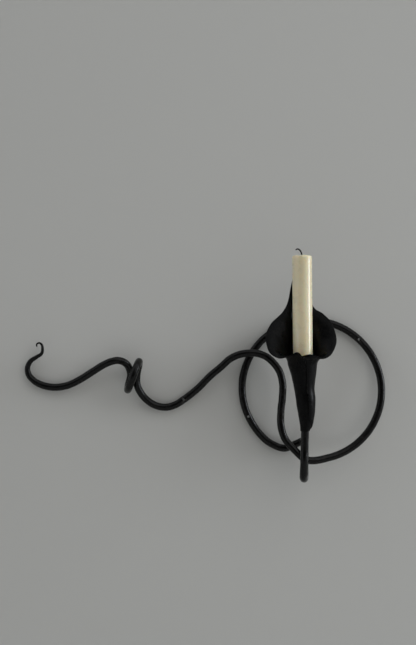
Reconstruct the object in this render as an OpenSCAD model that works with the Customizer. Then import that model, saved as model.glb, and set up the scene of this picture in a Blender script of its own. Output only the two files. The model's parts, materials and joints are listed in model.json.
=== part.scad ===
// Wall sconce for one candle: one long round bar, scrolled by hand, that carries a calla
// flower rolled from sheet, with a candle standing in its throat.
//
// The wall is the plane y = 0, and the sconce stands out from it towards -Y, with +Z up. The
// origin is where the middle of the upper ring hole meets the wall. "out" is a distance from
// the wall to the middle of the bar.

/* [Bar] */
// Diameter of the round bar
bar_d = 9; // [6:0.5:10]
// Diameter of the drawn-out tip of the bar
tip_d = 1.6; // [1:0.2:3]
// Length of bar that is drawn out to the tip
taper_l = 100; // [60:5:130]
// Free gap where one strand passes in front of another
cross_gap = 3; // [2:0.5:10]
// Diameter of the three screw holes through the bar
hole_d = 3.2; // [2:0.1:4]

/* [Ring] */
// Radius of the large ring, to the middle of the bar
ring_r = 84; // [76:1:96]
// How far the hand-turned ring is out of round
ring_oval = 0.8; // [0:0.1:1.5]
// Distance out of the ring's lowest part
ring_out = 29; // [24:1:36]

/* [Scroll] */
// Distance from the middle of the ring to the middle of the small loop
loop_reach = 216; // [200:1:250]
// Height of the small loop above the middle of the ring
loop_rise = 17; // [5:1:25]
// Radius of the small loop, to the middle of the bar
loop_r = 17; // [14:0.5:22]
// Free gap between the two back strands of the loop
loop_gap = 0.5; // [0.4:0.1:4]
// Distance that the loop's last strand stands out in front of its first
loop_step = 5; // [0:0.5:7]
// How far the loop leans over
loop_lean = 5; // [0:0.5:8]

/* [Stem] */
// Distance out of the upright stem
stem_out = 88; // [76:1:110]
// Depth of the stem's bend below the middle of the ring
stem_drop = 98; // [94:1:120]
// Height of the flower's foot above the stem's bend
stem_l = 57; // [45:1:75]
// Length of stem that stands inside the flower's foot
stem_in = 15; // [10:1:18]

/* [Flower] */
// Thickness of the sheet
sheet_t = 1.2; // [0.8:0.1:1.6]
// Thickness of the sheet's thinned foot, where it is brazed to the stem
scarf_t = 0.5; // [0.4:0.1:0.8]
// Gap between the two layers of sheet at the seam, and between the sheet and what it holds
sheet_gap = 0.2; // [0.1:0.05:0.5]
// Outer diameter of the straight part of the funnel
belly_d = 20.8; // [18:0.2:22]
// Height of the straight part above the foot
belly_h = 43; // [38:1:48]
// Height of the candle cup above the foot
cup_h = 66; // [60:1:72]
// Height above the candle cup's foot where the funnel starts to open out
flare_rise = 8; // [6:0.5:12]
// Height of the front lip above the candle cup's foot
lip_h = 22; // [20:1:32]
// Height of the flower's point above its lip
point_h = 95; // [60:1:120]
// Distance from the middle of the flower to the edge of a side lobe
lobe_r = 40; // [32:1:50]
// Height of the outer layer's cut corner above the foot
corner_h = 19; // [12:1:26]
// Angle that the seam's two layers overlap
seam_lap = 50; // [20:5:70]
// How far the flower leans to the left of the stem at its throat
flower_lean = 2.3; // [0:0.1:4]
// How far the funnel's lower part bulges to the right of the stem
funnel_bulge = 1.4; // [0:0.1:2]

/* [Candle] */
// Diameter of the candle
candle_d = 22; // [20:0.5:24]
// Length of the candle
candle_l = 130; // [60:1:200]
// Depth of the melted hollow in the candle's top
melt_h = 1.6; // [0.5:0.1:3]
// Free gap round the candle in its cup
candle_gap = 0.3; // [0.2:0.05:0.6]
// Wall of the candle cup
cup_t = 1; // [0.8:0.1:1.6]
// Depth of the candle cup inside
cup_deep = 16; // [10:1:20]
// Diameter of the wick
wick_d = 1.7; // [1:0.1:2.2]
// Length of wick that stands above the candle
wick_l = 9; // [5:0.5:14]

/* [Hidden] */
$fn = 64;

wall_out = bar_d / 2;                      // where the bar lies against the wall
over_out = wall_out + bar_d + cross_gap;   // where a strand passes over one on the wall
hole_angle = 46;                           // places of the two ring holes, round the ring
low_hole_angle = 204;
join_angle = -97;                          // where the vine runs into the ring
leave_angle = 234;                         // where the bar leaves the ring, behind the vine
stem_x = -17.6;                            // the stem from the middle of the ring
stem_lean = 1.1;                           // how far the stem's bend stands left of its top

function ring_radius(a) = ring_r + ring_oval * cos(2 * (a + 10));
function round_ring(a) = ring_radius(a) * [cos(a), sin(a)];
ring_c = -round_ring(hole_angle);          // x and z of the ring's middle
loop_c = ring_c + [-loop_reach, loop_rise];
foot_z = ring_c[1] - stem_drop + stem_l;   // the flower's foot
stem_c = [ring_c[0] + stem_x, -stem_out];  // the stem's x and y

// ---- Curves through hand-set points ---------------------------------------------------

// The slope at point i of a chain: its two neighbouring chords, each weighted by the other.
function slope(p, i) =
    i == 0 ? (p[1] - p[0]) / norm(p[1] - p[0]) :
    i == len(p) - 1 ? (p[i] - p[i - 1]) / norm(p[i] - p[i - 1]) :
    let (a = p[i] - p[i - 1], b = p[i + 1] - p[i], la = norm(a), lb = norm(b))
    (a / la * lb + b / lb * la) / (la + lb);

// One point at t, from 0 to 1, on the smooth piece from a to b with end slopes va and vb.
function hermite(a, va, b, vb, t) =
    a * (2 * t * t * t - 3 * t * t + 1) + va * (t * t * t - 2 * t * t + t)
    + b * (3 * t * t - 2 * t * t * t) + vb * (t * t * t - t * t);

// The chain drawn as a smooth curve, with a step no longer than far and no sharper than turn.
function smooth_chain(p, far, turn) = concat(
    [for (i = [0:len(p) - 2])
        let (l = norm(p[i + 1] - p[i]), va = slope(p, i), vb = slope(p, i + 1),
             bend = acos(min(1, va * vb / norm(va) / norm(vb))),
             n = ceil(max(l / far, bend / turn)))
        each [for (k = [0:n - 1]) hermite(p[i], va * l, p[i + 1], vb * l, k / n)]],
    [p[len(p) - 1]]);

// Columns 1, 2 ... of a table, read smoothly at a value of its first column.
function row_at(table, x, i = 0) =
    (i == len(table) - 2 || x <= table[i + 1][0]) ? i : row_at(table, x, i + 1);
function rate(table, i, c) =
    let (n = len(table) - 1, a = max(0, i - 1), b = min(n, i + 1),
         ha = table[i][0] - table[a][0], hb = table[b][0] - table[i][0],
         sa = ha > 0 ? (table[i][c] - table[a][c]) / ha : 0,
         sb = hb > 0 ? (table[b][c] - table[i][c]) / hb : 0)
    ha == 0 ? sb : hb == 0 ? sa : (sa * hb + sb * ha) / (ha + hb);
function read(table, x, c) =
    let (i = row_at(table, x), h = table[i + 1][0] - table[i][0])
    hermite(table[i][c], rate(table, i, c) * h, table[i + 1][c], rate(table, i + 1, c) * h,
            (x - table[i][0]) / h);
function read_all(table, x) = [x, for (c = [1:len(table[0]) - 1]) read(table, x, c)];

// ---- The bar's middle line ------------------------------------------------------------

// A point in the wall's plane, and its distance out, as a point in space.
function place(xz, out) = [xz[0], -out, xz[1]];

// The finial curl and the hump, from the tip, as x, z from the loop's middle and distance out.
finial = [
    [-118.4, 34, 12], [-118.6, 37.4, 12], [-115.8, 39, 11.5], [-112.6, 36.5, 11],
    [-112, 31.5, 10], [-113, 26.5, 9], [-119.8, 21.6, 8], [-127.4, 16.4, 6.5],
    [-131.4, 8, 5], [-130, 0, 4.5], [-123.6, -7.4, 4.5], [-113, -13, 4.5],
    [-98.3, -15.5, 5], [-82, -13, 6.5], [-66, -5.5, 8.5], [-50, 4.5, 11.5],
    [-36, 13, 15], [-27.5, 16.6, 16.5], [-20.5, 17.9, 16], [-14, 16.4, 13.5],
    [-9.6, 13.2, 10.5]];

// The single turn of the loop: back strand, foot, front strand, head and back strand again.
loop_out = wall_out + 2;
loop_pitch = sqrt(pow(bar_d + loop_gap, 2) - pow(loop_step, 2));
loop_lead = 12;                            // how far round the turn the lean is ahead of it
loop_turn = [for (t = [0:45:360])
    let (across = loop_pitch * (t / 360 - 0.5) - loop_lean * sin(t + loop_lead))
    place(loop_c + [across, -loop_r * sin(t)],
          loop_out + loop_step * t / 360 + loop_r * (1 - cos(t)))];

// The sag after the loop. The third screw hole is at its eighth point.
sag = [
    [3.3, -12.4, 5.5], [7.2, -21.6, 4], [13.2, -29.3, 2.5], [21.3, -35.6, 1.4],
    [28.6, -38.8, 0.6], [37.5, -40, 0.2], [49.7, -36.9, 0], [59.7, -30.6, 0],
    [68.2, -24.3, 0.5], [78.3, -15.6, 2]];
sag_hole = 7;

// The vine: over the ring's upper left, down inside it and over its lower left, as x and z in
// ring radii from the ring's middle, and distance beyond the wall strand or the upper crossing.
vine_over = [[-1.49, 0.17, 4], [-1.31, 0.325, 6], [-1.18, 0.44, 8.5]];
vine_down = [
    [-1.06, 0.497, -1], [-0.93, 0.521, 0], [-0.80, 0.517, 0.5], [-0.667, 0.469, 1.5],
    [-0.56, 0.376, 3], [-0.476, 0.25, 4], [-0.437, 0.095, 5], [-0.438, -0.095, 5],
    [-0.461, -0.32, 5], [-0.46, -0.51, 5.5], [-0.4, -0.708, 7], [-0.286, -0.84, 9.5]];

// The ring: it comes in from its distance out to the wall at the upper hole, then lies on it.
function ring_depth(a) = a >= hole_angle ? wall_out :
    wall_out + (ring_out - wall_out) * pow((hole_angle - a) / (hole_angle - join_angle), 1.2);
ring_steps = 16;
ring_turn = [for (k = [0:ring_steps])
    let (a = join_angle + (leave_angle - join_angle) * k / ring_steps)
    place(ring_c + round_ring(a), ring_depth(a))];

// The swoop: behind the stem the bar turns away from the wall, dips and comes up as the stem.
// It is given as x from the ring's middle, height above the stem's bend and distance out.
swoop_in = [[-32, -72.9, 1], [-23, -69.6, 1.2], [-16.2, -66.2, 3]];
swoop_down = [
    [-11.4, 34.6, 0.12], [-10.4, 33.6, 0.26], [-11.6, 25, 0.42], [-13.8, 9.5, 0.6],
    [-15.6, 0.6, 0.76]];
stem_bend = 17;                            // radius of the bend into the upright stem

chain = smooth_chain(concat(
    [for (p = finial) place(loop_c + [p[0], p[1]], wall_out - 4 + p[2])],
    loop_turn,
    [for (p = sag) place(loop_c + [p[0], p[1]], wall_out + p[2])],
    [for (p = vine_over) place(ring_c + ring_r * [p[0], p[1]], wall_out + p[2])],
    [for (p = vine_down) place(ring_c + ring_r * [p[0], p[1]], over_out + p[2])],
    ring_turn,
    [for (p = swoop_in) place(ring_c + [p[0], p[1]], wall_out + p[2])],
    [for (p = swoop_down) place(ring_c + [p[0], p[1] - stem_drop], stem_out * p[2])],
    [for (a = [45, 90])
        [stem_c[0] - stem_lean, stem_c[1] + stem_bend * (1 - sin(a)),
         ring_c[1] - stem_drop + stem_bend * (1 - cos(a))]],
    [for (f = [0.4, 0.7, 1])
        [stem_c[0] - stem_lean * max(0, 1 - f / 0.7), stem_c[1],
         ring_c[1] - stem_drop + stem_bend + f * (stem_l + stem_in - stem_bend)]]
), 6, 14);
line = [for (p = chain) [p[0], min(p[1], -wall_out), p[2]]];    // never behind the wall

// ---- Sweeps ---------------------------------------------------------------------------

function unit(v) = v / norm(v);
function along(p, i) = unit(p[min(i + 1, len(p) - 1)] - p[max(i - 1, 0)]);
function upright(v, t) = unit(v - (v * t) * t);

// A round tube along points, with a radius at each: sides round it, and flat ends.
module tube(points, radii, sides) {
    n = len(points);
    up = [for (i = 0, v = upright([0, 1, 0], along(points, 0)); i < n;
               i = i + 1, v = i < n ? upright(v, along(points, i)) : v) v];
    rings = [for (i = [0:n - 1]) let (t = along(points, i), s = cross(t, up[i]))
        each [for (k = [0:sides - 1])
            points[i] + radii[i] * (cos(360 * k / sides) * up[i] + sin(360 * k / sides) * s)]];
    ends = [for (i = [0, n - 1]) points[i]];
    polyhedron(
        concat(rings, ends),
        concat(
            [for (i = [0:n - 2], k = [0:sides - 1]) let (j = (k + 1) % sides)
                each [[i * sides + k, (i + 1) * sides + j, i * sides + j],
                      [i * sides + k, (i + 1) * sides + k, (i + 1) * sides + j]]],
            [for (k = [0:sides - 1]) [n * sides, k, (k + 1) % sides]],
            [for (k = [0:sides - 1])
                [n * sides + 1, (n - 1) * sides + (k + 1) % sides, (n - 1) * sides + k]]));
}

// A closed skin over a grid of points, rows x columns, given as its outer and its inner side.
module shell(outer, inner) {
    rows = len(outer);
    cols = len(outer[0]);
    n = rows * cols;
    function id(side, r, c) = side * n + r * cols + c;
    polyhedron(
        concat([for (row = outer) each row], [for (row = inner) each row]),
        concat(
            [for (r = [0:rows - 2], c = [0:cols - 2]) each [
                [id(0, r, c), id(0, r, c + 1), id(0, r + 1, c)],
                [id(0, r + 1, c), id(0, r, c + 1), id(0, r + 1, c + 1)],
                [id(1, r, c), id(1, r + 1, c), id(1, r, c + 1)],
                [id(1, r + 1, c), id(1, r + 1, c + 1), id(1, r, c + 1)]]],
            [for (c = [0:cols - 2]) each [
                [id(0, 0, c), id(1, 0, c), id(0, 0, c + 1)],
                [id(0, 0, c + 1), id(1, 0, c), id(1, 0, c + 1)],
                [id(0, rows - 1, c), id(0, rows - 1, c + 1), id(1, rows - 1, c)],
                [id(0, rows - 1, c + 1), id(1, rows - 1, c + 1), id(1, rows - 1, c)]]],
            [for (r = [0:rows - 2]) each [
                [id(0, r, 0), id(0, r + 1, 0), id(1, r, 0)],
                [id(0, r + 1, 0), id(1, r + 1, 0), id(1, r, 0)],
                [id(0, r, cols - 1), id(1, r, cols - 1), id(0, r + 1, cols - 1)],
                [id(0, r + 1, cols - 1), id(1, r, cols - 1), id(1, r + 1, cols - 1)]]]));
}

// ---- The bar --------------------------------------------------------------------------

run = [for (i = 0, s = 0; i < len(line);
            i = i + 1, s = i < len(line) ? s + norm(line[i] - line[i - 1]) : s) s];
bar_sides = 12;

module screw_hole(xz) {
    translate([xz[0], 1, xz[1]]) rotate([90, 0, 0]) cylinder(d = hole_d, h = bar_d + 4);
}

module vine_bar() {
    color("#1b1b1d") difference() {
        tube(line, [for (s = run)
            tip_d / 2 + (bar_d - tip_d) / 2 * sin(90 * min(1, s / taper_l))], bar_sides);
        screw_hole([0, 0]);
        screw_hole(ring_c + round_ring(low_hole_angle));
        screw_hole(loop_c + [sag[sag_hole][0], sag[sag_hole][1]]);
    }
}

// ---- The flower -----------------------------------------------------------------------

cup_r = candle_d / 2 + candle_gap + cup_t;       // outside of the candle cup
throat_r = cup_r + sheet_gap + sheet_t;          // outside of the sheet at the cup's foot
foot_r = bar_d / 2 + sheet_gap + scarf_t;        // outside of the sheet on the stem
belly_r = belly_d / 2;
flare_h = cup_h + flare_rise;
lip_z = cup_h + lip_h;

// The funnel: height above the foot, outer radius, and how far its middle stands to the left.
funnel = [
    [0, foot_r, -0.2 * funnel_bulge],
    [0.15 * belly_h, foot_r + 0.26 * (belly_r - foot_r), -0.95 * funnel_bulge],
    [0.3 * belly_h, foot_r + 0.46 * (belly_r - foot_r), -funnel_bulge],
    [0.47 * belly_h, foot_r + 0.65 * (belly_r - foot_r), -0.9 * funnel_bulge],
    [0.65 * belly_h, foot_r + 0.835 * (belly_r - foot_r), -0.55 * funnel_bulge],
    [0.87 * belly_h, foot_r + 0.96 * (belly_r - foot_r), -0.2 * funnel_bulge],
    [1.07 * belly_h, belly_r, 0.4 * flower_lean],
    [cup_h, throat_r, flower_lean],
    [flare_h, 1.12 * throat_r, 1.4 * flower_lean]];

// The rim, once round from the seam: angle, radius in lobe radii, height above the lip in point
// heights, and the slope of the sheet's edge in degrees.
rim = [
    [98, 0.56, -0.045, -10], [106, 0.59, -0.003, -5], [127, 0.70, -0.035, -30],
    [149, 0.86, -0.055, -60], [166, 0.995, 0.03, -60], [178, 1.025, 0.19, -25],
    [190, 0.885, 0.335, 5], [201, 0.735, 0.41, 22], [213, 0.63, 0.475, 40],
    [235, 0.58, 0.64, 62], [250, 0.65, 0.85, 70], [264, 0.70, 1, 74],
    [280, 0.66, 0.88, 70], [305, 0.52, 0.61, 60], [322, 0.52, 0.52, 50],
    [340, 0.68, 0.455, 35], [356, 0.87, 0.325, 5], [367, 0.96, 0.15, -25],
    [378, 0.87, 0.01, -60], [392, 0.745, -0.055, -60], [406, 0.63, -0.055, -40],
    [420, 0.60, -0.038, -15], [434, 0.60, -0.022, -5], [455, 0.57, -0.04, -5],
    [458, 0.56, -0.045, -10]];

seam_end = 458;                                  // the outer layer's edge, at the rim
seam_start = seam_end - 360 - seam_lap;
seam_twist = 18;                                 // how far the seam turns between funnel and rim
cols = 57;
funnel_rows = 9;
limb_rows = 9;
petal_rows = funnel_rows + limb_rows;

// One smooth surface round the funnel and its mouth, as the outside of a sheet that just meets
// itself. f runs from 0 at the foot to 1 at the flare and 2 at the rim.
function flare_at(a, t) =
    let (w = a < 98 ? a + 360 : a > seam_end ? a - 360 : a,
         low = read_all(funnel, flare_h), b = read(rim, w, 3),
         top = [lobe_r * read(rim, w, 1), lip_z + point_h * read(rim, w, 2)],
         far = norm(top - [low[1], flare_h]),
         q = hermite([low[1], flare_h], [0.17, 1] * far * (b < 0 ? 1.2 : 1),
                     top, [cos(b), sin(b)] * far * 1.1, t))
    [q[0], q[1], low[2]];
function funnel_at(h) = let (q = read_all(funnel, h)) [q[1], h, q[2]];
function skin_at(a, f) =
    let (q = f <= 1 ? funnel_at(edge_h(a) + (flare_h - edge_h(a)) * f) : flare_at(a, f - 1))
    [q[0] * cos(a) - q[2], -q[0] * sin(a), q[1]];

// The sheet's lower edge climbs towards the outer layer's corner.
function edge_h(a) = corner_h * pow(max(0, (a - 270) / (seam_end - 270)), 2.2);

// The sheet is wound outwards over itself, a sheet and a gap for each turn, and is thin at its
// foot. Its two sides lie at these distances off the smooth surface.
function outward(a, f) =
    unit(cross(skin_at(a, f + 0.02) - skin_at(a, f - 0.02), skin_at(a + 2, f) - skin_at(a - 2, f)));
function sheet_side(c, r, inside) =
    let (f = r <= funnel_rows ? r / funnel_rows : 1 + (r - funnel_rows) / limb_rows,
         a = seam_start + (seam_end - seam_start) * c / cols - seam_twist * min(1, 2 - f),
         t = scarf_t + (sheet_t - scarf_t) * min(1, 4 * f),
         wind = (t + sheet_gap) * (a + seam_twist - seam_start) / 360)
    skin_at(a, f) + (wind - (inside ? t : 0)) * outward(a, f);
petal_out = [for (r = [0:petal_rows]) [for (c = [0:cols]) sheet_side(c, r, false)]];
petal_in = [for (r = [0:petal_rows]) [for (c = [0:cols]) sheet_side(c, r, true)]];

module on_foot() {
    translate([stem_c[0], stem_c[1], foot_z]) children();
}

module calla_spathe() {
    color("#26282a") on_foot() shell(petal_out, petal_in);
}

// ---- The candle and its cup -----------------------------------------------------------

cup_floor = cup_t;

module on_cup() {
    on_foot() translate([-flower_lean, 0, cup_h]) children();
}

module candle_cup() {
    color("#1f1f21") on_cup() difference() {
        cylinder(r = cup_r, h = cup_floor + cup_deep);
        translate([0, 0, cup_floor]) cylinder(r = cup_r - cup_t, h = cup_deep + 1);
    }
}

wick_in = 10;                                    // length of wick inside the candle
wick_gap = 0.1;

module candle() {
    r = candle_d / 2;
    edge = 1.2;
    color("#efe6cf") on_cup() translate([0, 0, cup_floor]) difference() {
        rotate_extrude() polygon([
            [0, 0], [r - edge, 0], [r, edge], [r, candle_l - edge], [r - 0.4, candle_l - 0.35],
            [r - edge, candle_l], [r - 2 * edge, candle_l - 0.35 * melt_h],
            [r / 2, candle_l - 0.85 * melt_h], [0, candle_l - melt_h]]);
        translate([0, 0, candle_l - melt_h - wick_in])
            cylinder(d = wick_d + 2 * wick_gap, h = wick_in + 2 * melt_h);
    }
}

// The burnt wick stands up from the hollow and bends over to the left.
module wick() {
    bent = [[0, 0], [-0.03, 0.27], [-0.12, 0.59], [-0.33, 0.88], [-0.58, 0.98], [-0.78, 0.86]];
    points = concat([[0, 0, 0.3 - wick_in], [0, 0, -wick_in / 2]],
                    smooth_chain([for (p = bent) [p[0], 0, p[1]] * wick_l], 1.5, 20));
    color("#161412") on_cup() translate([0, 0, cup_floor + candle_l - melt_h])
        tube(points, [for (p = points) wick_d / 2], 10);
}

vine_bar();
calla_spathe();
candle_cup();
candle();
wick();
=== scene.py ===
"""Looks of the forged calla flower sconce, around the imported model.

Lengths are worked out in millimetres, in the same frame and from the same driving sizes as the
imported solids, and each mesh is made from them in metres. The wall is the plane y = 0."""
import json
import math

import bmesh
import bpy
import numpy as np
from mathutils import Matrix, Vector, noise

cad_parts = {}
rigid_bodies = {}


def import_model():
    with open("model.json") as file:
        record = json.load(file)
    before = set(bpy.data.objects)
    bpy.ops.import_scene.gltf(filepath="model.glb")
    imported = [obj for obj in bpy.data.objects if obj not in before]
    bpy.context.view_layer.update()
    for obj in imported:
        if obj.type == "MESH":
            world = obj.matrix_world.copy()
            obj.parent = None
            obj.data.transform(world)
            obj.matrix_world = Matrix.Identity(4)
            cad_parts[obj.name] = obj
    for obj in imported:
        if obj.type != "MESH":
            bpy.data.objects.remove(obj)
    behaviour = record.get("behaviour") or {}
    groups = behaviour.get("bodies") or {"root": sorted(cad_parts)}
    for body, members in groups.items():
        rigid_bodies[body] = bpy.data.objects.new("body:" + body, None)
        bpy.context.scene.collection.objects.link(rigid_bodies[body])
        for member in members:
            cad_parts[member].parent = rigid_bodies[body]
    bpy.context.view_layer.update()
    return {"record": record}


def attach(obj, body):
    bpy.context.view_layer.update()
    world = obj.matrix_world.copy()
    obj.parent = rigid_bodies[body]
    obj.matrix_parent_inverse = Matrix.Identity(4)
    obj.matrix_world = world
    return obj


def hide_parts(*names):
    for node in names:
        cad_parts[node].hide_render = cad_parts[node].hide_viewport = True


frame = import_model()

MM = 0.001

# ---- Driving sizes, as in the solids: lengths in millimetres, angles in degrees -----------

# The bar, its taper at the finial, the gap where it crosses over itself, and its screw holes.
BAR_D, TIP_D, TAPER_L = 9, 1.6, 100
CROSS_GAP, HOLE_D = 3, 3.2

# The ring: its radius, how far and which way it is out of round, how far its lower end stands
# out, and the angles of its holes, of the end that comes in and of the end that leaves.
RING_R, RING_OVAL, OVAL_TURN, RING_OUT = 84, 0.8, 10, 29
HOLE_ANGLE, LOW_HOLE_ANGLE = 46, 204
JOIN_ANGLE, LEAVE_ANGLE = -97, 234

# The arm's loop, placed from the middle of the ring, and how far the finial starts back.
LOOP_REACH, LOOP_RISE, LOOP_R, LOOP_OUT = 216, 17, 17, 2
LOOP_GAP, LOOP_STEP, LOOP_LEAN, LOOP_LEAD = 0.5, 5, 5, 12
FINIAL_BACK = 4

# The stem under the flower.
STEM_OUT, STEM_DROP, STEM_L, STEM_IN = 88, 98, 57, 15
STEM_X, STEM_LEAN, STEM_BEND = -17.6, 1.1, 17

# The flower's sheet, with its heights above the foot and its lapped seam.
SHEET_T, SCARF_T, SHEET_GAP = 1.2, 0.5, 0.2
BELLY_D, BELLY_H, FUNNEL_BULGE, FLOWER_LEAN = 20.8, 43, 1.4, 2.3
CUP_H, FLARE_RISE, LIP_H, POINT_H, LOBE_R = 66, 8, 22, 95, 40
SEAM_LAP, SEAM_END, SEAM_TWIST, CORNER_H = 50, 458, 18, 19

# The candle, which leans a little inside its cup's free room, its wick and the cup.
CANDLE_D, CANDLE_L, CANDLE_GAP, CANDLE_LEAN = 22, 130, 0.3, 0.5
MELT_H, WICK_D, WICK_L, WICK_IN = 1.6, 1.7, 9, 10
CUP_T, CUP_DEEP = 1, 16

WALL_OUT = BAR_D / 2                              # the bar's middle where it lies on the wall
OVER_OUT = WALL_OUT + BAR_D + CROSS_GAP           # and where it passes over another strand


def round_ring(degrees):
    """A point of the ring, across and up from the ring's middle."""
    radius = RING_R + RING_OVAL * math.cos(math.radians(2 * (degrees + OVAL_TURN)))
    return radius * np.array([math.cos(math.radians(degrees)), math.sin(math.radians(degrees))])


RING_C = -round_ring(HOLE_ANGLE)
LOOP_C = RING_C + [-LOOP_REACH, LOOP_RISE]
FOOT = np.array([RING_C[0] + STEM_X, -STEM_OUT, RING_C[1] - STEM_DROP + STEM_L])
CUP_FOOT = FOOT + [-FLOWER_LEAN, 0, CUP_H]

# ---- Curves through listed points ---------------------------------------------------------


def unit(v):
    """A vector, or each of many, made one long."""
    return v / np.linalg.norm(v, axis=-1, keepdims=True)


def hermite(a, va, b, vb, t):
    """From a to b as t goes from 0 to 1, leaving at va and arriving at vb."""
    return (a * (2 * t**3 - 3 * t**2 + 1) + va * (t**3 - 2 * t**2 + t)
            + b * (3 * t**2 - 2 * t**3) + vb * (t**3 - t**2))


def slope(p, i):
    """The slope at point i of a chain: its two chords, each weighted by the other."""
    if i == 0 or i == len(p) - 1:
        a, b = (p[0], p[1]) if i == 0 else (p[-2], p[-1])
        return unit(b - a)
    a, b = p[i] - p[i - 1], p[i + 1] - p[i]
    la, lb = np.linalg.norm(a), np.linalg.norm(b)
    return (a / la * lb + b / lb * la) / (la + lb)


def smooth_chain(points, far):
    """The chain drawn as a smooth curve, with a step of about far."""
    p = np.array(points, float)
    out = []
    for i in range(len(p) - 1):
        length = np.linalg.norm(p[i + 1] - p[i])
        va, vb = slope(p, i) * length, slope(p, i + 1) * length
        n = math.ceil(length / far)
        out += [hermite(p[i], va, p[i + 1], vb, k / n) for k in range(n)]
    return np.array(out + [p[-1]])


def read(table, x, column):
    """A column of a table, read smoothly at values of its first column."""
    t = np.array(table, float)
    xs, ys = t[:, 0], t[:, column]
    gap, chord = np.diff(xs), np.diff(ys) / np.diff(xs)
    inner = (chord[:-1] * gap[1:] + chord[1:] * gap[:-1]) / (gap[:-1] + gap[1:])
    rate = np.concatenate([chord[:1], inner, chord[-1:]])
    i = np.clip(np.searchsorted(xs, x) - 1, 0, len(xs) - 2)
    h = gap[i]
    return hermite(ys[i], rate[i] * h, ys[i + 1], rate[i + 1] * h, (x - xs[i]) / h)


# ---- The bar's middle line ----------------------------------------------------------------


def place(xz, out):
    """A point across and up on the wall, at a distance out from it."""
    return [xz[0], -out, xz[1]]


# Points of the bar, in order from its tip: across, up and out. The first two tables are in
# millimetres from the loop's middle, the next two across and up in ring radii from the ring's
# middle, and the last two in millimetres from the ring's middle and from the stem's bend, the
# last one with the distance out as a share of the stem's.
FINIAL = [
    (-118.4, 34, 12), (-118.6, 37.4, 12), (-115.8, 39, 11.5), (-112.6, 36.5, 11),
    (-112, 31.5, 10), (-113, 26.5, 9), (-119.8, 21.6, 8), (-127.4, 16.4, 6.5),
    (-131.4, 8, 5), (-130, 0, 4.5), (-123.6, -7.4, 4.5), (-113, -13, 4.5),
    (-98.3, -15.5, 5), (-82, -13, 6.5), (-66, -5.5, 8.5), (-50, 4.5, 11.5),
    (-36, 13, 15), (-27.5, 16.6, 16.5), (-20.5, 17.9, 16), (-14, 16.4, 13.5),
    (-9.6, 13.2, 10.5)]
SAG = [
    (3.3, -12.4, 5.5), (7.2, -21.6, 4), (13.2, -29.3, 2.5), (21.3, -35.6, 1.4),
    (28.6, -38.8, 0.6), (37.5, -40, 0.2), (49.7, -36.9, 0), (59.7, -30.6, 0),
    (68.2, -24.3, 0.5), (78.3, -15.6, 2)]
SAG_HOLE = 7                                      # the point with the arm's screw hole
VINE_OVER = [(-1.49, 0.17, 4), (-1.31, 0.325, 6), (-1.18, 0.44, 8.5)]
VINE_DOWN = [
    (-1.06, 0.497, -1), (-0.93, 0.521, 0), (-0.80, 0.517, 0.5), (-0.667, 0.469, 1.5),
    (-0.56, 0.376, 3), (-0.476, 0.25, 4), (-0.437, 0.095, 5), (-0.438, -0.095, 5),
    (-0.461, -0.32, 5), (-0.46, -0.51, 5.5), (-0.4, -0.708, 7), (-0.286, -0.84, 9.5)]
SWOOP_IN = [(-32, -72.9, 1), (-23, -69.6, 1.2), (-16.2, -66.2, 3)]
SWOOP_DOWN = [
    (-11.4, 34.6, 0.12), (-10.4, 33.6, 0.26), (-11.6, 25, 0.42), (-13.8, 9.5, 0.6),
    (-15.6, 0.6, 0.76)]


def loop_turn():
    """The single turn of the loop, which stands out from the wall and leans over."""
    pitch = math.sqrt((BAR_D + LOOP_GAP)**2 - LOOP_STEP**2)
    for degrees in range(0, 361, 45):
        t, share = math.radians(degrees), degrees / 360
        across = pitch * (share - 0.5) - LOOP_LEAN * math.sin(t + math.radians(LOOP_LEAD))
        yield place(LOOP_C + [across, -LOOP_R * math.sin(t)],
                    WALL_OUT + LOOP_OUT + LOOP_STEP * share + LOOP_R * (1 - math.cos(t)))


def ring_turn():
    """The ring comes in from its distance out to the wall at the upper hole, and lies on it."""
    steps = 16
    for k in range(steps + 1):
        a = JOIN_ANGLE + (LEAVE_ANGLE - JOIN_ANGLE) * k / steps
        share = max(0, (HOLE_ANGLE - a) / (HOLE_ANGLE - JOIN_ANGLE))
        yield place(RING_C + round_ring(a), WALL_OUT + (RING_OUT - WALL_OUT) * share**1.2)


def bar_line(far):
    """The bar's middle line from the finial's tip to the top of the stem."""
    bend_z = RING_C[1] - STEM_DROP
    knots = [place(LOOP_C + p[:2], WALL_OUT - FINIAL_BACK + p[2]) for p in FINIAL]
    knots += loop_turn()
    knots += [place(LOOP_C + p[:2], WALL_OUT + p[2]) for p in SAG]
    knots += [place(RING_C + RING_R * np.array(p[:2]), WALL_OUT + p[2]) for p in VINE_OVER]
    knots += [place(RING_C + RING_R * np.array(p[:2]), OVER_OUT + p[2]) for p in VINE_DOWN]
    knots += ring_turn()
    knots += [place(RING_C + p[:2], WALL_OUT + p[2]) for p in SWOOP_IN]
    knots += [place([RING_C[0] + p[0], bend_z + p[1]], STEM_OUT * p[2]) for p in SWOOP_DOWN]
    for a in (math.radians(45), math.radians(90)):
        knots.append([FOOT[0] - STEM_LEAN, FOOT[1] + STEM_BEND * (1 - math.sin(a)),
                      bend_z + STEM_BEND * (1 - math.cos(a))])
    upright = 0.7
    for f in (0.4, upright, 1):
        knots.append([FOOT[0] - STEM_LEAN * max(0, 1 - f / upright), FOOT[1],
                      bend_z + STEM_BEND + f * (STEM_L + STEM_IN - STEM_BEND)])
    line = smooth_chain(knots, far)
    line[:, 1] = np.minimum(line[:, 1], -WALL_OUT)
    return line


# ---- Meshes -------------------------------------------------------------------------------


def rough(p, size, seed):
    """Smooth noise, about -1 to 1, at a point in millimetres, with bumps of about a size."""
    return noise.noise(Vector(p) / size + Vector((seed, 2 * seed, 3 * seed)))


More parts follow.
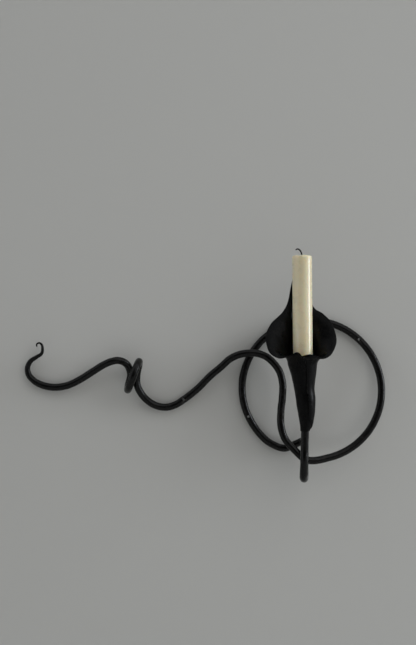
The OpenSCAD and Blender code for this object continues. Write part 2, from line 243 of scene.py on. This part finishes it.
def make_piece(name, points, faces, material, node, sharp):
    """A piece from points in millimetres, which stands for a node and rides on its body."""
    mesh = bpy.data.meshes.new(name)
    mesh.from_pydata([tuple(MM * c for c in p) for p in points], [], faces)
    mesh.materials.append(material)
    mesh.shade_smooth()
    mesh.set_sharp_from_angle(angle=math.radians(sharp))
    piece = bpy.data.objects.new(name, mesh)
    bpy.context.scene.collection.objects.link(piece)
    for body, members in frame["record"]["behaviour"]["bodies"].items():
        if node in members:
            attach(piece, body)
    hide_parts(node)
    return piece


def apply_modifiers(piece):
    """The piece's mesh takes the shape that its modifiers give it."""
    evaluated = piece.evaluated_get(bpy.context.evaluated_depsgraph_get())
    mesh = bpy.data.meshes.new_from_object(evaluated)
    piece.modifiers.clear()
    piece.data = mesh


def grid_faces(rows, cols, start=0, wrap=False):
    """Quads over a grid of points, row by row, closed round each row if wrap."""
    faces = []
    for r in range(rows - 1):
        for c in range(cols if wrap else cols - 1):
            a, b = start + r * cols + c, start + r * cols + (c + 1) % cols
            faces.append((a, b, b + cols, a + cols))
    return faces


FIRST_DOME, LAST_DOME = 0.4, 0.2                  # how far a tube's ends bulge


def tube(points, radius_at, sides):
    """Points and faces of a round tube. radius_at takes the ring, the angle and the point."""
    along = unit(np.gradient(points, axis=0))
    up = np.array([0.0, 1.0, 0.0])
    verts = []
    for i, (p, t) in enumerate(zip(points, along)):
        up = unit(up - (up @ t) * t)
        side = np.cross(t, up)
        for k in range(sides):
            a = 2 * math.pi * k / sides
            out = math.cos(a) * up + math.sin(a) * side
            verts.append(p + radius_at(i, a, p, out) * out)
    faces = grid_faces(len(points), sides, wrap=True)
    n = len(verts)
    verts += [points[0] - FIRST_DOME * along[0], points[-1] + LAST_DOME * along[-1]]
    last = n - sides
    faces += [((k + 1) % sides, k, n) for k in range(sides)]
    faces += [(last + k, last + (k + 1) % sides, n + 1) for k in range(sides)]
    return verts, faces


def lathe(profile, steps, middle, wobble=lambda r, a, h: (r, h)):
    """A profile of radius and height turned round the upright line through middle."""
    verts = []
    for r, h in profile:
        for k in range(steps):
            a = 2 * math.pi * k / steps
            radius, height = wobble(r, a, h)
            verts.append([middle[0] + radius * math.cos(a), middle[1] + radius * math.sin(a),
                          middle[2] + height])
    return verts, grid_faces(len(profile), steps, wrap=True)


def round_corners(outline, radius):
    """An open outline of radius and height, with each inner corner drawn round."""
    steps = 4
    p = [np.array(q, float) for q in outline]
    out = [p[0]]
    for a, b, c in zip(p, p[1:], p[2:]):
        reach = min(radius, np.linalg.norm(b - a) / 2.1, np.linalg.norm(c - b) / 2.1)
        start, end = b + unit(a - b) * reach, b + unit(c - b) * reach
        for k in range(steps + 1):
            t = k / steps
            out.append(start * (1 - t)**2 + 2 * b * t * (1 - t) + end * t**2)
    return out + [p[-1]]


# ---- Materials ----------------------------------------------------------------------------


def new_material(name):
    """A material, with its node tree and its shader."""
    material = bpy.data.materials.new(name)
    material.use_nodes = True
    return material, material.node_tree, material.node_tree.nodes["Principled BSDF"]


def noise_node(tree, size_mm, detail=3, roughness=0.5, stretch=(1, 1, 1)):
    """Noise with features of about size_mm, on the piece's own coordinates."""
    place_node = tree.nodes.new("ShaderNodeTexCoord")
    scale = tree.nodes.new("ShaderNodeMapping")
    scale.inputs["Scale"].default_value = stretch
    node = tree.nodes.new("ShaderNodeTexNoise")
    node.inputs["Scale"].default_value = 1 / (size_mm * MM)
    node.inputs["Detail"].default_value = detail
    node.inputs["Roughness"].default_value = roughness
    tree.links.new(place_node.outputs["Object"], scale.inputs["Vector"])
    tree.links.new(scale.outputs["Vector"], node.inputs["Vector"])
    return node.outputs["Fac"]


def ramp(tree, fac, stops):
    """Colours between stops of (position, colour), by a value from 0 to 1."""
    node = tree.nodes.new("ShaderNodeValToRGB")
    elements = node.color_ramp.elements
    while len(elements) < len(stops):
        elements.new(0.5)
    for element, (at, colour) in zip(elements, stops):
        element.position = at
        element.color = (*colour, 1)
    tree.links.new(fac, node.inputs["Fac"])
    return node.outputs["Color"]


def spread(tree, fac, low, high):
    """Noise around a half stretched to the values low to high."""
    node = tree.nodes.new("ShaderNodeMapRange")
    node.inputs["From Min"].default_value = 0.3
    node.inputs["From Max"].default_value = 0.7
    node.inputs["To Min"].default_value = low
    node.inputs["To Max"].default_value = high
    tree.links.new(fac, node.inputs["Value"])
    return node.outputs["Result"]


def mix(tree, fac, a, b):
    """Colour a turned to b by a factor. Each is an output or a plain colour."""
    node = tree.nodes.new("ShaderNodeMix")
    node.data_type = "RGBA"
    for kind, value in (("Factor_Float", fac), ("A_Color", a), ("B_Color", b)):
        target = next(s for s in node.inputs if s.identifier == kind)
        if isinstance(value, bpy.types.NodeSocket):
            tree.links.new(value, target)
        else:
            target.default_value = (*value, 1)
    return next(s for s in node.outputs if s.identifier == "Result_Color")


def bumps(tree, shader, layers):
    """Stacked bump from (height, depth in mm) layers."""
    last = None
    for height, depth in layers:
        node = tree.nodes.new("ShaderNodeBump")
        node.inputs["Strength"].default_value = 1
        node.inputs["Distance"].default_value = depth * MM
        tree.links.new(height, node.inputs["Height"])
        if last:
            tree.links.new(last, node.inputs["Normal"])
        last = node.outputs["Normal"]
    tree.links.new(last, shader.inputs["Normal"])


def hammer_marks(tree, size_mm):
    """Soft round dents, close together, as a hammer leaves them."""
    place_node = tree.nodes.new("ShaderNodeTexCoord")
    node = tree.nodes.new("ShaderNodeTexVoronoi")
    node.feature = "SMOOTH_F1"
    node.inputs["Scale"].default_value = 1 / (size_mm * MM)
    node.inputs["Smoothness"].default_value = 0.6
    tree.links.new(place_node.outputs["Object"], node.inputs["Vector"])
    return node.outputs["Distance"]


def worn_edges(tree):
    """0 on flats and 1 on sharp outer edges, where handling has rubbed the finish."""
    geometry = tree.nodes.new("ShaderNodeNewGeometry")
    node = tree.nodes.new("ShaderNodeMapRange")
    node.inputs["From Min"].default_value = 0.53
    node.inputs["From Max"].default_value = 0.62
    tree.links.new(geometry.outputs["Pointiness"], node.inputs["Value"])
    return node.outputs["Result"]


IRON_BROWN, IRON_SPECKLE = (0.008, 0.006, 0.004), (0.010, 0.0098, 0.0095)
IRON_WORN = (0.035, 0.034, 0.032)


def black_iron(name, dark, light, dent_mm, dent_depth, roughness, gloss):
    """Forge-black waxed iron with hammer marks, a little brown in places, worn on its edges."""
    material, tree, shader = new_material(name)
    clouds = noise_node(tree, 16, 5, 0.6)
    scale_spots = noise_node(tree, 2.2, 4, 0.7)
    brown = noise_node(tree, 28, 3)
    colour = ramp(tree, clouds, [(0.35, dark), (0.7, light)])
    speckle = ramp(tree, scale_spots, [(0.5, (0, 0, 0)), (0.75, (1, 1, 1))])
    warm = ramp(tree, brown, [(0.56, (0, 0, 0)), (0.8, (1, 1, 1))])
    colour = mix(tree, warm, colour, IRON_BROWN)
    colour = mix(tree, speckle, colour, IRON_SPECKLE)
    colour = mix(tree, worn_edges(tree), colour, IRON_WORN)
    tree.links.new(colour, shader.inputs["Base Color"])
    tree.links.new(spread(tree, noise_node(tree, 7, 4), roughness, roughness + 0.16),
                   shader.inputs["Roughness"])
    shader.inputs["Specular IOR Level"].default_value = gloss
    bumps(tree, shader, [(hammer_marks(tree, dent_mm), dent_depth),
                         (noise_node(tree, 3, 4), 0.08), (noise_node(tree, 0.5, 3), 0.015)])
    return material


def ivory_wax():
    """Translucent wax with a soft sheen, faintly streaked along the candle."""
    material, tree, shader = new_material("ivory_wax")
    streaks = noise_node(tree, 14, 4, 0.55, (1, 1, 0.25))
    colour = ramp(tree, streaks, [(0.3, (0.78, 0.695, 0.47)), (0.7, (0.82, 0.75, 0.54))])
    specks = ramp(tree, noise_node(tree, 1.6, 2), [(0.68, (0, 0, 0)), (0.8, (1, 1, 1))])
    colour = mix(tree, specks, colour, (0.84, 0.78, 0.62))
    tree.links.new(colour, shader.inputs["Base Color"])
    tree.links.new(spread(tree, noise_node(tree, 9, 4), 0.24, 0.34), shader.inputs["Roughness"])
    shader.inputs["Subsurface Weight"].default_value = 0.7
    shader.inputs["Subsurface Radius"].default_value = (1, 0.7, 0.4)
    shader.inputs["Subsurface Scale"].default_value = 7 * MM
    shader.inputs["Coat Weight"].default_value = 0.3
    shader.inputs["Coat Roughness"].default_value = 0.16
    bumps(tree, shader, [(noise_node(tree, 8, 3, 0.5, (1, 1, 0.3)), 0.07),
                         (noise_node(tree, 1.2, 3), 0.012)])
    return material


def charred_cotton():
    """Soot-black burnt fibres, quite matt."""
    material, tree, shader = new_material("charred_cotton")
    fibres = noise_node(tree, 0.5, 4, 0.7)
    colour = ramp(tree, fibres, [(0.3, (0.003, 0.003, 0.003)), (0.8, (0.014, 0.012, 0.011))])
    tree.links.new(colour, shader.inputs["Base Color"])
    shader.inputs["Roughness"].default_value = 0.9
    bumps(tree, shader, [(fibres, 0.1)])
    return material


# ---- The bar ------------------------------------------------------------------------------


def hole_cutter(x, z):
    """A screw hole with its two mouths eased, to be cut along Y."""
    r, ease, past, steps = HOLE_D / 2, 0.5, 2, 24
    stations = [(past, r + past), (0.2, r + ease), (-ease, r), (-BAR_D + ease + 0.3, r),
                (-BAR_D + 0.1, r + ease), (-BAR_D - past, r + past)]
    verts = [(MM * (x + rad * math.cos(2 * math.pi * k / steps)), MM * y,
              MM * (z + rad * math.sin(2 * math.pi * k / steps)))
             for y, rad in stations for k in range(steps)]
    faces = grid_faces(len(stations), steps, wrap=True)
    faces += [tuple(range(steps))[::-1], tuple(range(len(verts) - steps, len(verts)))]
    mesh = bpy.data.meshes.new("cutter")
    mesh.from_pydata(verts, [], faces)
    bm = bmesh.new()
    bm.from_mesh(mesh)
    bmesh.ops.recalc_face_normals(bm, faces=bm.faces)
    bm.to_mesh(mesh)
    bm.free()
    cutter = bpy.data.objects.new("cutter", mesh)
    bpy.context.scene.collection.objects.link(cutter)
    return cutter


def forged_bar(material):
    """The bar, tapered at the finial, uneven from the hammer, with its three screw holes."""
    step, sides = 1.6, 32
    line = bar_line(step)
    run = np.concatenate([[0], np.cumsum(np.linalg.norm(np.diff(line, axis=0), axis=1))])

    def radius_at(i, a, p, out):
        taper = math.sin(math.pi / 2 * min(1, run[i] / TAPER_L))
        r = TIP_D / 2 + (BAR_D - TIP_D) / 2 * taper
        end = min(1, run[i] / 0.9 + 0.35)
        q = p + out * r
        blows = 0.10 * rough(q, 9, 1) + 0.05 * rough(q, 4, 2) - 0.05
        return (r + blows * taper) * end

    verts, faces = tube(line, radius_at, sides)
    piece = make_piece("forged_vine", verts, faces, material, "vine_bar", 35)
    low, arm = RING_C + round_ring(LOW_HOLE_ANGLE), LOOP_C + SAG[SAG_HOLE][:2]
    for x, z in ((0, 0), low, arm):
        cut = piece.modifiers.new("hole", "BOOLEAN")
        cut.operation = "DIFFERENCE"
        cut.solver = "EXACT"
        cut.object = hole_cutter(x, z)
    apply_modifiers(piece)
    for cutter in [o for o in bpy.data.objects if o.name.startswith("cutter")]:
        bpy.data.objects.remove(cutter)


# ---- The flower ---------------------------------------------------------------------------

CUP_R = CANDLE_D / 2 + CANDLE_GAP + CUP_T
THROAT_R = CUP_R + SHEET_GAP + SHEET_T
FOOT_R = BAR_D / 2 + SHEET_GAP + SCARF_T
FLARE_H = CUP_H + FLARE_RISE
LIP_Z = CUP_H + LIP_H


def swell(share):
    """The funnel's radius at a share of the way from its foot to its belly."""
    return FOOT_R + share * (BELLY_D / 2 - FOOT_R)


# Height above the foot, outer radius, and how far the funnel's middle stands to the left.
FUNNEL = [
    (0, FOOT_R, -0.2 * FUNNEL_BULGE),
    (0.15 * BELLY_H, swell(0.26), -0.95 * FUNNEL_BULGE),
    (0.3 * BELLY_H, swell(0.46), -FUNNEL_BULGE),
    (0.47 * BELLY_H, swell(0.65), -0.9 * FUNNEL_BULGE),
    (0.65 * BELLY_H, swell(0.835), -0.55 * FUNNEL_BULGE),
    (0.87 * BELLY_H, swell(0.96), -0.2 * FUNNEL_BULGE),
    (1.07 * BELLY_H, swell(1), 0.4 * FLOWER_LEAN),
    (CUP_H, THROAT_R, FLOWER_LEAN),
    (FLARE_H, 1.12 * THROAT_R, 1.4 * FLOWER_LEAN)]

# The rim, once round from the seam: angle, radius in lobe radii, height above the lip in point
# heights, and the slope of the sheet's edge in degrees.
RIM = [
    (98, 0.56, -0.045, -10), (106, 0.59, -0.003, -5), (127, 0.70, -0.035, -30),
    (149, 0.86, -0.055, -60), (166, 0.995, 0.03, -60), (178, 1.025, 0.19, -25),
    (190, 0.885, 0.335, 5), (201, 0.735, 0.41, 22), (213, 0.63, 0.475, 40),
    (235, 0.58, 0.64, 62), (250, 0.65, 0.85, 70), (264, 0.70, 1, 74),
    (280, 0.66, 0.88, 70), (305, 0.52, 0.61, 60), (322, 0.52, 0.52, 50),
    (340, 0.68, 0.455, 35), (356, 0.87, 0.325, 5), (367, 0.96, 0.15, -25),
    (378, 0.87, 0.01, -60), (392, 0.745, -0.055, -60), (406, 0.63, -0.055, -40),
    (420, 0.60, -0.038, -15), (434, 0.60, -0.022, -5), (455, 0.57, -0.04, -5),
    (458, 0.56, -0.045, -10)]


def skin_at(a, f):
    """One smooth surface round the funnel, f from 0 to 1, and its flared mouth, 1 to 2."""
    back, swing = 270, 1.1
    edge = CORNER_H * np.maximum(0, (a - back) / (SEAM_END - back))**2.2
    h = edge + (FLARE_H - edge) * np.minimum(f, 1)
    r, shift = read(FUNNEL, h, 1), read(FUNNEL, h, 2)
    w = np.where(a < SEAM_END - 360, a + 360, np.where(a > SEAM_END, a - 360, a))
    b = np.radians(read(RIM, w, 3))
    top_r, top_h = LOBE_R * read(RIM, w, 1), LIP_Z + POINT_H * read(RIM, w, 2)
    low_r, low_shift = FUNNEL[-1][1:]
    far = np.hypot(top_r - low_r, top_h - FLARE_H)
    pull = far * np.where(b < 0, 1.2, 1)
    t = np.maximum(f - 1, 0)
    flare_r = hermite(low_r, 0.17 * pull, top_r, np.cos(b) * far * swing, t)
    flare_h = hermite(FLARE_H, pull, top_h, np.sin(b) * far * swing, t)
    r, h = np.where(f > 1, flare_r, r), np.where(f > 1, flare_h, h)
    shift = np.where(f > 1, low_shift, shift)
    turn = np.radians(a)
    return np.stack([r * np.cos(turn) - shift, -r * np.sin(turn), h], -1)


def rolled_flower(material):
    """The sheet, wound a little outward as it goes round, so that it clears itself at the lap."""
    cols, funnel_rows, limb_rows = 228, 54, 54
    rows = funnel_rows + limb_rows + 1
    start = SEAM_END - 360 - SEAM_LAP
    f = np.concatenate([np.linspace(0, 1, funnel_rows + 1),
                        np.linspace(1, 2, limb_rows + 1)[1:]])[:, None]
    f = np.repeat(f, cols + 1, 1)
    a = np.linspace(start, SEAM_END, cols + 1)[None, :] - SEAM_TWIST * np.minimum(1, 2 - f)
    df, da = 0.02, 2
    outward = unit(np.cross(skin_at(a, f + df) - skin_at(a, f - df),
                            skin_at(a + da, f) - skin_at(a - da, f)))
    thick = SCARF_T + (SHEET_T - SCARF_T) * np.minimum(1, 4 * f)
    wind = (thick + SHEET_GAP) * (a + SEAM_TWIST - start) / 360
    skin = skin_at(a, f) + FOOT
    blows = np.array([[0.16 * rough(p, 15, 3) + 0.07 * rough(p, 6, 4) for p in row]
                      for row in skin])
    blows *= np.clip((f - 0.35) * 3, 0, 1)
    outer = skin + (wind + blows)[..., None] * outward
    inner = skin + (wind + blows - thick)[..., None] * outward
    n = rows * (cols + 1)
    verts = np.concatenate([outer.reshape(-1, 3), inner.reshape(-1, 3)])
    faces = [q[::-1] for q in grid_faces(rows, cols + 1)] + grid_faces(rows, cols + 1, start=n)
    border = ([c for c in range(cols)] + [r * (cols + 1) + cols for r in range(rows - 1)]
              + [(rows - 1) * (cols + 1) + c for c in range(cols, 0, -1)]
              + [r * (cols + 1) for r in range(rows - 1, 0, -1)])
    for i, j in zip(border, border[1:] + border[:1]):
        faces.append((i, j, j + n, i + n))
    piece = make_piece("rolled_calla", verts, faces, material, "calla_spathe", 50)
    ease = piece.modifiers.new("eased_edges", "BEVEL")
    ease.limit_method = "ANGLE"
    ease.angle_limit = math.radians(50)
    ease.width = 0.35 * MM
    ease.segments = 3
    apply_modifiers(piece)
    piece.data.shade_smooth()


# ---- The candle and its cup ---------------------------------------------------------------

AXIS_R = 0.01                                     # a turned profile stops this near its axis


def turned_cup(material):
    """The plain cup that the candle stands in, its corners drawn round."""
    r, h = CUP_R, CUP_T + CUP_DEEP
    outline = [(0, 0), (r, 0), (r, h), (r - CUP_T, h), (r - CUP_T, CUP_T), (0, CUP_T)]
    profile = round_corners(outline, 0.45)
    profile[0], profile[-1] = np.array([AXIS_R, 0]), np.array([AXIS_R, CUP_T])
    verts, faces = lathe(profile, 96, CUP_FOOT)
    make_piece("turned_cup", verts, faces, material, "candle_cup", 60)


def lean(points):
    """Points of the candle or its wick, leant to the left and lifted clear of the cup's floor."""
    turn, lift = math.radians(CANDLE_LEAN), 0.15
    pivot = CUP_FOOT + [0, 0, CUP_T + CUP_DEEP / 2]
    p = np.array(points, float) - pivot
    x = p[:, 0] * math.cos(turn) - p[:, 2] * math.sin(turn)
    z = p[:, 0] * math.sin(turn) + p[:, 2] * math.cos(turn)
    return np.stack([x, p[:, 1], z], -1) + pivot + [0, 0, lift]


def wax_candle(material):
    """The candle from its foot up its side, over the soft rim and down into the melted hollow."""
    r, top = CANDLE_D / 2, CANDLE_L
    side = [(r, h) for h in np.linspace(1.6, top - 2.4, 60)]
    melted = [(r - 0.1, top - 1.6), (r - 0.4, top - 0.8), (r - 1, top - 0.25), (r - 1.7, top),
              (r - 2.2, top - 0.2), (r - 3.4, top - 0.7), (0.5 * r, top - 0.85 * MELT_H),
              (0.3 * r, top - MELT_H), (WICK_D / 2 + 0.15, top - 0.8 * MELT_H),
              (WICK_D / 2 - 0.25, top - MELT_H - 0.5)]
    foot = [(AXIS_R, 0), (r - 1.2, 0), (r - 0.4, 0.35), (r, 1.2)]

    def wobble(radius, angle, height):
        """A slightly uneven side, and a rim that dips as it melts."""
        around = (math.cos(angle), math.sin(angle), 0)
        soft = rough((30 * around[0], 30 * around[1], 0.35 * height), 22, 5)
        rim = min(1, max(0, (height - top + 4) / 4))
        lift = 0.45 * rim * (rough((25 * around[0], 25 * around[1], 0), 16, 6) - 0.6)
        body = 1 if 2 < height < top and radius > 0.6 * r else 0
        return radius + body * 0.08 * soft, height + lift * (radius > 0.4 * r)

    middle = CUP_FOOT + [0, 0, CUP_T]
    verts, faces = lathe(foot + side + melted, 112, middle, wobble)
    piece = make_piece("wax_candle", lean(verts), faces, material, "candle", 60)
    bm = bmesh.new()
    bm.from_mesh(piece.data)
    bmesh.ops.holes_fill(bm, edges=[e for e in bm.edges if e.is_boundary], sides=0)
    bmesh.ops.recalc_face_normals(bm, faces=bm.faces)
    bm.to_mesh(piece.data)
    bm.free()


def burnt_wick(material):
    """A three-strand cotton braid, burnt, standing up from the wax and bent to the left."""
    bent = [(0, 0), (-0.03, 0.27), (-0.12, 0.59), (-0.33, 0.88), (-0.58, 0.98), (-0.78, 0.86)]
    sunk = [[0, 0, -WICK_IN / 2], [0, 0, -WICK_IN / 4]]
    strands, twist, step, sides = 3, 1.9, 0.16, 24
    line = smooth_chain(sunk + [[WICK_L * x, 0, WICK_L * z] for x, z in bent], step)
    line = line + CUP_FOOT + [0, 0, CUP_T + CANDLE_L - MELT_H]
    run = np.concatenate([[0], np.cumsum(np.linalg.norm(np.diff(line, axis=0), axis=1))])

    def radius_at(i, a, p, out):
        strand = abs(math.sin(strands / 2 * (a + run[i] * twist)))
        shrink = 1 - 0.2 * max(0, (run[i] - run[-1] + 4) / 4)
        fray = 0.07 * rough(p + out, 0.6, 7)
        return WICK_D / 2 * shrink * (0.86 + 0.2 * strand) + fray * shrink

    verts, faces = tube(line, radius_at, sides)
    make_piece("burnt_wick", lean(verts), faces, material, "wick", 70)


# ---- Stage, light and camera --------------------------------------------------------------


def pale_paint(name, colour, one_sided=False):
    """Matt paint. A one-sided wall is clear from behind."""
    material, tree, shader = new_material(name)
    shader.inputs["Base Color"].default_value = (*colour, 1)
    shader.inputs["Roughness"].default_value = 0.85
    shader.inputs["Specular IOR Level"].default_value = 0.2
    if one_sided:
        geometry = tree.nodes.new("ShaderNodeNewGeometry")
        clear = tree.nodes.new("ShaderNodeBsdfTransparent")
        switch = tree.nodes.new("ShaderNodeMixShader")
        tree.links.new(geometry.outputs["Backfacing"], switch.inputs[0])
        tree.links.new(shader.outputs[0], switch.inputs[1])
        tree.links.new(clear.outputs[0], switch.inputs[2])
        tree.links.new(switch.outputs[0], tree.nodes["Material Output"].inputs["Surface"])
    return material


def flat(name, corners, material):
    """A flat sheet of the stage."""
    mesh = bpy.data.meshes.new(name)
    mesh.from_pydata(corners, [], [(0, 1, 2, 3)])
    mesh.materials.append(material)
    sheet = bpy.data.objects.new(name, mesh)
    bpy.context.scene.collection.objects.link(sheet)


def set_stage():
    """A wall just behind the sconce, clear from its back, and a floor well below, in metres."""
    floor_z, reach, wall_y = -0.75, 4.0, 0.0006
    left, right, top = -1.6, 1.3, 1.3
    flat("floor", [(-reach, -reach, floor_z), (reach, -reach, floor_z),
                   (reach, reach, floor_z), (-reach, reach, floor_z)],
         pale_paint("pale_floor", (0.56, 0.56, 0.54)))
    flat("wall", [(left, wall_y, floor_z), (right, wall_y, floor_z),
                  (right, wall_y, top), (left, wall_y, top)],
         pale_paint("pale_wall", (0.62, 0.616, 0.59), one_sided=True))


def area_light(name, at, towards, size, power, beam, colour):
    """An oblong lamp, its size in metres, its power in watts and its beam in degrees."""
    data = bpy.data.lights.new(name, "AREA")
    data.shape = "RECTANGLE"
    data.size, data.size_y = size
    data.energy = power
    data.spread = math.radians(beam)
    data.color = colour
    lamp = bpy.data.objects.new(name, data)
    lamp.location = at
    lamp.rotation_euler = (Vector(towards) - Vector(at)).to_track_quat("-Z", "Y").to_euler()
    bpy.context.scene.collection.objects.link(lamp)


def room_light(pale, dim):
    """Even light from the whole room but for a dim patch opposite the wall."""
    way, edge, core = np.array([-0.12, -1.0, 0.05]), 60, 28
    world = bpy.data.worlds.new("room")
    bpy.context.scene.world = world
    world.use_nodes = True
    tree = world.node_tree
    direction = tree.nodes.new("ShaderNodeTexCoord")
    facing = tree.nodes.new("ShaderNodeVectorMath")
    facing.operation = "DOT_PRODUCT"
    facing.inputs[1].default_value = unit(way)
    tree.links.new(direction.outputs["Generated"], facing.inputs[0])
    shade = tree.nodes.new("ShaderNodeMapRange")
    shade.interpolation_type = "SMOOTHSTEP"
    shade.inputs["From Min"].default_value = math.cos(math.radians(edge))
    shade.inputs["From Max"].default_value = math.cos(math.radians(core))
    shade.inputs["To Min"].default_value = pale
    shade.inputs["To Max"].default_value = dim
    tree.links.new(facing.outputs["Value"], shade.inputs["Value"])
    background = tree.nodes["Background"]
    background.inputs["Color"].default_value = (0.95, 0.97, 1, 1)
    tree.links.new(shade.outputs["Result"], background.inputs["Strength"])


def set_light():
    """A pale room, a window far to the right, and a little light back from the room."""
    room_light(pale=0.84, dim=0.03)
    flower = (-0.08, -0.07, 0)
    area_light("window", at=(2.7, -0.42, 0.45), towards=flower, size=(0.6, 1.6), power=15,
               beam=120, colour=(0.9, 0.95, 1))
    area_light("room_fill", at=(0.7, -1.9, 1.3), towards=flower, size=(1.8, 1.8), power=4.5,
               beam=150, colour=(1, 0.98, 0.95))


def set_camera():
    """The photograph's camera: square to the wall, left of the flower, a metre away."""
    data = bpy.data.cameras.new("camera")
    data.sensor_width, data.lens = 36, 45.35
    camera = bpy.data.objects.new("camera", data)
    camera.location = (-0.184612, -1.0, 0.020594)
    camera.rotation_euler = (math.radians(90), 0, 0)
    bpy.context.scene.collection.objects.link(camera)
    bpy.context.scene.camera = camera


set_camera()
set_light()
set_stage()
forged_bar(black_iron(
    "forged_iron", dark=(0.0015, 0.0014, 0.0012), light=(0.0036, 0.0034, 0.0029),
    dent_mm=8, dent_depth=0.3, roughness=0.15, gloss=0.22))
rolled_flower(black_iron(
    "sheet_iron", dark=(0.0010, 0.0011, 0.0012), light=(0.0024, 0.0026, 0.0030),
    dent_mm=11, dent_depth=0.35, roughness=0.24, gloss=0.09))
turned_cup(black_iron(
    "cup_iron", dark=(0.0018, 0.0018, 0.0019), light=(0.004, 0.004, 0.0042),
    dent_mm=6, dent_depth=0.1, roughness=0.45, gloss=0.15))
wax_candle(ivory_wax())
burnt_wick(charred_cotton())
bpy.context.scene.view_settings.view_transform = "Standard"
